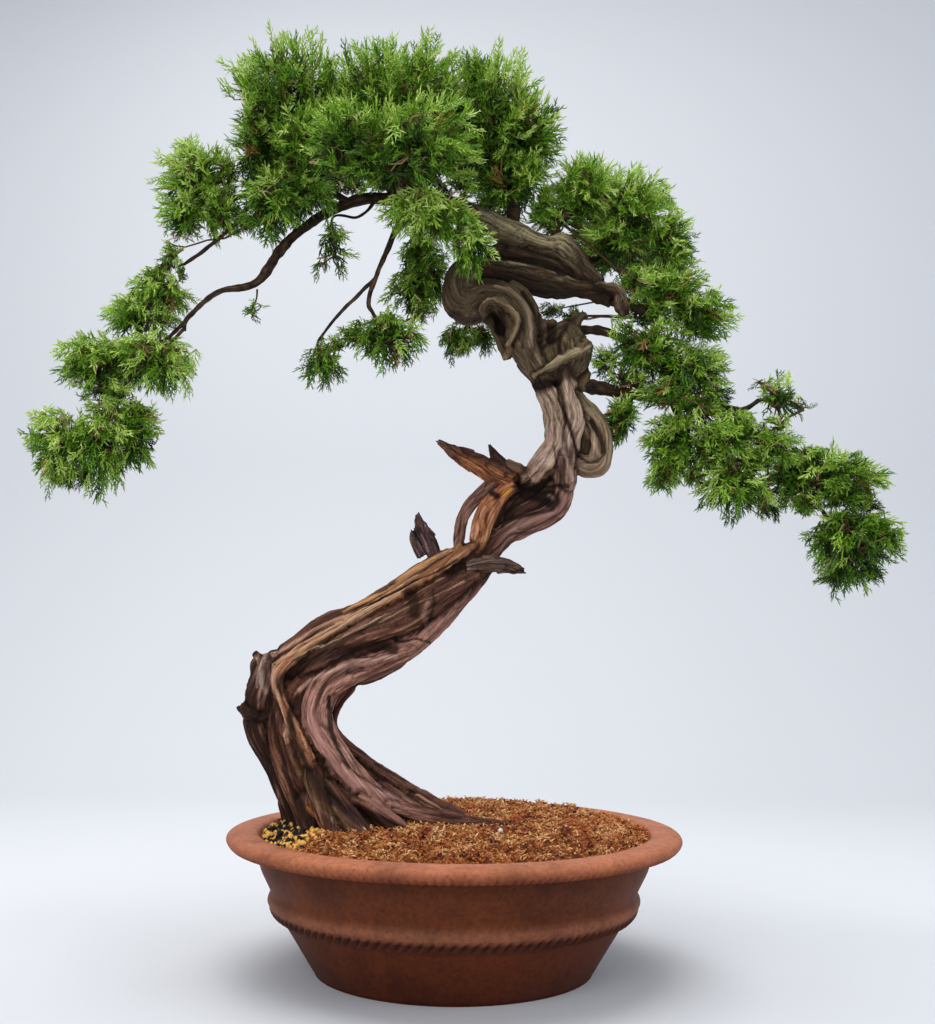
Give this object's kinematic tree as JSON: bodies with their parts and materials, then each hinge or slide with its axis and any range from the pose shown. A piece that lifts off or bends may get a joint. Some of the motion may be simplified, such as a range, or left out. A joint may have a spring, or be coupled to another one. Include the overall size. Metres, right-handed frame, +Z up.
{
  "type": "potted bonsai tree",
  "caption": "Juniper bonsai with a bent, twisted trunk, arching limbs and drooping foliage pads, growing in a round unglazed clay pot with a flared rim.",
  "frame": {"origin": "middle of the flat underside of the pot", "axes": "+Z up along the pot's axis, -Y towards the side the picture shows, +X to that view's right"},
  "size_m": [0.7118, 0.3556, 0.7505],
  "materials": {
    "terracotta": "unglazed fired clay, matt",
    "moss_soil": "moss over grit, matt",
    "bark": "fibrous old bark",
    "deadwood": "bare weathered wood",
    "foliage": "scale leaves, slight sheen"
  },
  "bodies": {
    "root": {"pot": "terracotta", "soil": "moss_soil", "trunk": "bark", "limb_lower": "bark", "limb_upper": "bark", "jin_left": "deadwood", "jin_upright": "deadwood", "jin_right": "deadwood", "bough_left": "bark", "bough_crown_left": "bark", "bough_crown_right": "bark", "bough_front": "bark", "bough_front_high": "bark", "bough_back": "bark", "bough_low_left": "bark", "bough_cloud": "bark", "bough_fork": "bark", "bough_drop": "bark", "twig_hang": "bark", "bough_hang": "bark", "bough_hang_fork": "bark", "bough_mid": "bark", "bough_under": "bark", "bough_right_up": "bark", "bough_right_mid": "bark", "bough_right_low": "bark", "bough_right_long": "bark", "bough_under_right": "bark", "bough_trail": "bark", "bough_end": "bark", "bough_droop": "bark", "bough_back_right": "bark", "crown_left": "foliage", "crown_mid": "foliage", "crown_right": "foliage", "crown_front": "foliage", "crown_front_high": "foliage", "crown_back": "foliage", "crown_low_left": "foliage", "cloud_left": "foliage", "drop_upper": "foliage", "drop_mid": "foliage", "drop_low": "foliage", "spray_hang": "foliage", "drop_left": "foliage", "drop_right": "foliage", "hang_mid": "foliage", "under_bulb": "foliage", "right_upper": "foliage", "right_mid": "foliage", "right_low": "foliage", "right_under": "foliage", "right_trail": "foliage", "spray_right": "foliage", "end_upper": "foliage", "end_droop": "foliage", "right_back": "foliage"}
  },
  "joints": []
}
